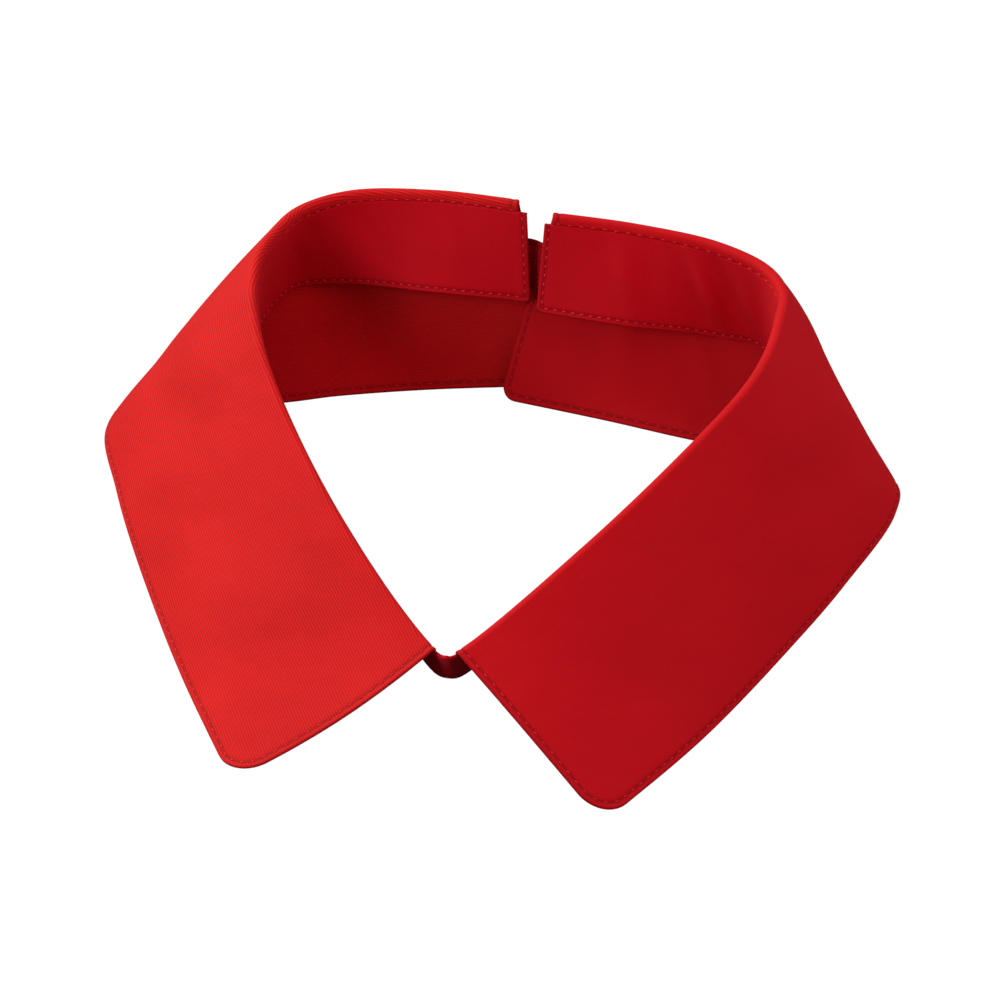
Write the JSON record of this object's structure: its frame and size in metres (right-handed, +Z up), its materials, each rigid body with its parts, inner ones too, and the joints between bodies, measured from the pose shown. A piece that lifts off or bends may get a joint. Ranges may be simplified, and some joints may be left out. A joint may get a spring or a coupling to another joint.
{
  "type": "detachable shirt collar",
  "caption": "Detachable false collar in red cotton twill: a neck band with two folded-over pointed leaves, topstitched, closed at the back by a small tab with a hidden snap.",
  "frame": {"origin": "on the surface it stands on, below the middle of the collar's bounding box", "axes": "+Z up, -Y towards the front, where the two points are; +X towards the right-hand leaf as seen from the front"},
  "size_m": [0.2022, 0.1726, 0.0519],
  "materials": {
    "stand": "cotton twill",
    "leaf_right": "cotton twill",
    "leaf_left": "cotton twill",
    "back_tab": "cotton twill",
    "snap": "plain"
  },
  "bodies": {
    "root": {"stand": "stand", "leaf_right": "leaf_right", "leaf_left": "leaf_left", "back_tab": "back_tab", "snap": "snap"}
  },
  "joints": []
}
